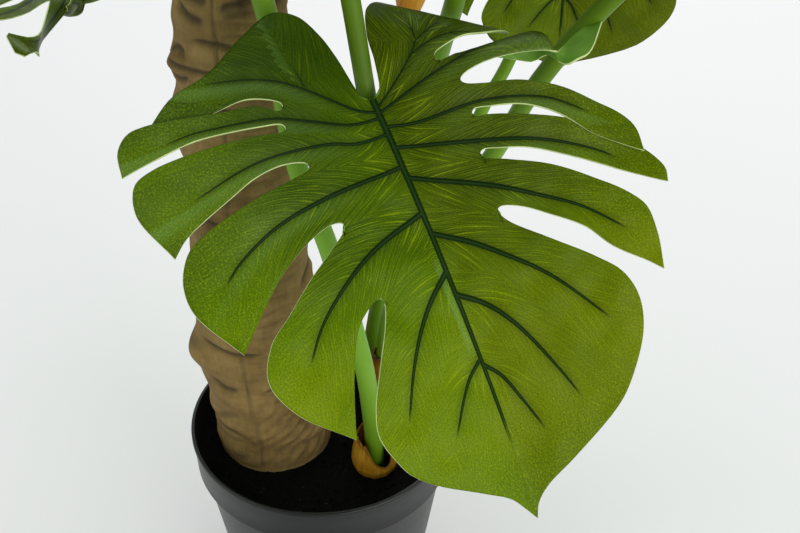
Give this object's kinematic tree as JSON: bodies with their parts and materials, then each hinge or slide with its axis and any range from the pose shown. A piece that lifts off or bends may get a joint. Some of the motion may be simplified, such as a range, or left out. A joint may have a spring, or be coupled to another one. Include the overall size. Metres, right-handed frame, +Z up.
{
  "type": "potted monstera plant",
  "caption": "Decorative split-leaf monstera with a wrapped trunk and long-stalked, deeply cut leaves, standing in a tapered nursery pot.",
  "frame": {"origin": "middle of the pot's underside, on the surface the pot stands on", "axes": "+Z up; -Y towards the pictured front; +X to the right of that view"},
  "size_m": [0.745, 0.6404, 1.0429],
  "materials": {
    "pot": "satin black moulded plastic",
    "fill": "matt black cast fill",
    "trunk": "matt brown, wrapped and creased",
    "sheath": "matt amber, papery",
    "stalk": "satin green",
    "blade": "satin coated cloth, deep green to yellow-green"
  },
  "bodies": {
    "root": {"pot": "pot", "fill": "fill", "trunk": "trunk", "blade_front": "blade", "stalk_front": "stalk", "blade_low_left": "blade", "stalk_low_left": "stalk", "blade_low_front_right": "blade", "stalk_low_front_right": "stalk", "blade_low_right": "blade", "stalk_low_right": "stalk", "blade_right_hanging": "blade", "stalk_right_hanging": "stalk", "blade_tall_front": "blade", "stalk_tall_front": "stalk", "blade_left_drooping": "blade", "stalk_left_drooping": "stalk", "blade_back_left": "blade", "stalk_back_left": "stalk", "blade_back": "blade", "stalk_back": "stalk", "blade_back_right": "blade", "stalk_back_right": "stalk", "blade_high_left": "blade", "stalk_high_left": "stalk", "blade_high_top": "blade", "stalk_high_top": "stalk", "sheath_front_foot": "sheath", "sheath_rear_foot": "sheath", "sheath_upper": "sheath"}
  },
  "joints": []
}
